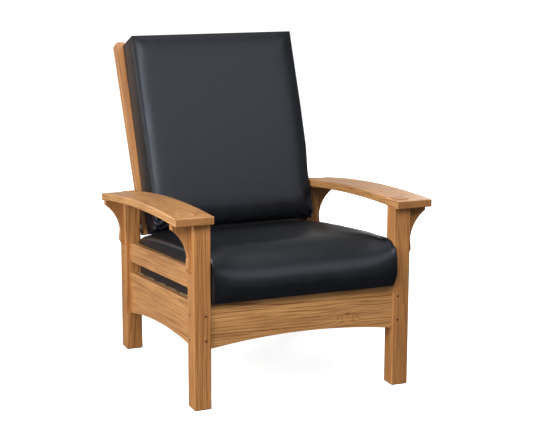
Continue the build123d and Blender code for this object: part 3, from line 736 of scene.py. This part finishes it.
# the back cushion leans on the back frame, a little to one side as in the photograph
pivot = Vector(joints["back_recline"]["pos_m"])
backForward = Vector((0, -backRise.z, backRise.y))
backLow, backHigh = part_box("back_cushion_cover")
stileHalf = 0.0125     # half the stiles' thickness
belowPivot = 0.0286    # how far the cushion reaches below the pivot
backOrigin = pivot + backForward * (stileHalf + softGap) - backRise * belowPivot
backOrigin.x = (backLow[0] + backHigh[0]) / 2
points, faces = cushionPoints(backCushion)
backPiece = meshFrom("back_cushion", points, faces, planeMatrix(backOrigin, backRise, backForward))

for piece, body, cover, core in (
        (seatPiece, "seat_cushion", "seat_cushion_cover", "seat_cushion_core"),
        (backPiece, "back_cushion", "back_cushion_cover", "back_cushion_core")):
    piece.data.materials.append(hide)
    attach(piece, body)
    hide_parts(cover, core)
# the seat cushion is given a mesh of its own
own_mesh(seatPiece)
print("back cushion done")


# Floor, light and camera

stageLook = {
    "floor": "#EDEDED",
    "floorBounce": "#585858",        # what the floor throws back up at the chair
    "glow": (0.74, 0.97),            # the floor's own light for the camera, near and far
    "glowSpread": (1.2, 5.0),        # metres from the chair between which it rises
    "halfWidth": 60.0,
    "backgrounds": (0.22, 0.5, 1.0),  # for most rays, for shine and see-through, for the camera
}


def floorMaterial():
    # matt white paper that glows a little for the camera, so that it meets the white background,
    # and that throws little light back up at the chair
    material, tree = newMaterial("white_paper")
    paper = addNode(tree, "BsdfDiffuse", inputs={"Color": linear(stageLook["floor"])})
    dull = addNode(tree, "BsdfDiffuse", inputs={"Color": linear(stageLook["floorBounce"])})
    away = vectorMaths(tree, "LENGTH", addNode(tree, "TexCoord").outputs["Object"])
    rising = mapped(tree, away, stageLook["glowSpread"], stageLook["glow"])
    glow = addNode(tree, "Emission", inputs={"Color": (1, 1, 1, 1), "Strength": rising})
    seen = addNode(tree, "LightPath")
    both = addNode(tree, "AddShader", inputs={0: paper.outputs[0], 1: glow.outputs[0]})
    chosen = addNode(tree, "MixShader", inputs={
        0: seen.outputs["Is Camera Ray"], 1: dull.outputs[0], 2: both.outputs[0]})
    finishMaterial(tree, chosen)
    return material


floorCorners = ((-1, -1, 0), (1, -1, 0), (1, 1, 0), (-1, 1, 0))
floorPoints = stageLook["halfWidth"] * np.array(floorCorners, dtype=float)
floorPiece = meshFrom("floor", floorPoints, np.array([[0, 1, 2, 3]]), Matrix())
floorPiece.data.materials.append(floorMaterial())

world = bpy.data.worlds.new("studio")
world.use_nodes = True
world.node_tree.nodes.clear()
tree = world.node_tree
# white behind the chair, paler in what shines or is see-through, and a dim room for the rest
dim, pale, white = [addNode(tree, "Background", inputs={"Color": (1, 1, 1, 1), "Strength": strength})
                    for strength in stageLook["backgrounds"]]
seen = addNode(tree, "LightPath")
mirrored = maths(tree, "MAXIMUM", seen.outputs["Is Glossy Ray"], seen.outputs["Is Transmission Ray"])
room = addNode(tree, "MixShader", inputs={0: mirrored, 1: dim.outputs[0], 2: pale.outputs[0]})
chosen = addNode(tree, "MixShader", inputs={
    0: seen.outputs["Is Camera Ray"], 1: room.outputs[0], 2: white.outputs[0]})
addNode(tree, "OutputWorld", inputs={"Surface": chosen.outputs[0]})
bpy.context.scene.world = world

lamps = {
    "left_softbox": {"at": (-3.0, -1.2, 1.1), "aim": (0, 0, 0.5), "size": (1.2, 1.8), "watts": 109.0},
    "strip_light": {"at": (-1.27, -2.2, 2.5), "aim": (0, 0.2, 0.8), "size": (0.24, 1.4), "watts": 46.0},
    "front_softbox": {"at": (0.75, -2.6, 3.0), "aim": (0, 0, 0.5), "size": (3.6, 1.7), "watts": 60.0},
    "top_softbox": {"at": (0.0, -0.2, 3.3), "aim": (0, 0, 0), "size": (2.4, 1.8), "watts": 24.0},
    "right_rear_fill": {"at": (3.0, 2.4, 1.3), "aim": (0, 0, 0.5), "size": (1.6, 1.8), "watts": 64.0},
    "left_rear_fill": {"at": (-2.9, 2.8, 1.3), "aim": (0, 0, 0.5), "size": (1.6, 1.8), "watts": 46.0},
}
for name, lamp in lamps.items():
    light = bpy.data.lights.new(name, "AREA")
    light.shape = "RECTANGLE"
    light.size, light.size_y = lamp["size"]
    light.energy = lamp["watts"]
    holder = bpy.data.objects.new(name, light)
    holder.location = lamp["at"]
    holder.rotation_euler = (Vector(lamp["aim"]) - Vector(lamp["at"])).to_track_quat("-Z", "Y").to_euler()
    bpy.context.scene.collection.objects.link(holder)

# the photograph's camera: its place in metres and its turns in degrees
viewpoint = {"at": (-1.77718, -4.47980, 1.49249), "yaw": 22.4234, "pitch": -11.9111, "roll": 0.1253,
             "lensMm": 96.9, "sensorMm": 36.0}
yaw, pitch, roll = [math.radians(viewpoint[key]) for key in ("yaw", "pitch", "roll")]
forward = Vector((math.sin(yaw) * math.cos(pitch), math.cos(yaw) * math.cos(pitch), math.sin(pitch)))
right = Vector((math.cos(yaw), -math.sin(yaw), 0))
upward = right.cross(forward)
rolledRight = right * math.cos(roll) + upward * math.sin(roll)
rolledUp = upward * math.cos(roll) - right * math.sin(roll)
camera = bpy.data.objects.new("camera", bpy.data.cameras.new("camera"))
camera.data.lens = viewpoint["lensMm"]
camera.data.sensor_width = viewpoint["sensorMm"]
turned = Matrix((rolledRight, rolledUp, -forward)).transposed().to_4x4()
camera.matrix_world = Matrix.Translation(viewpoint["at"]) @ turned
bpy.context.scene.collection.objects.link(camera)
bpy.context.scene.camera = camera
bpy.context.scene.view_settings.view_transform = "Standard"

print("stage, light and camera done")
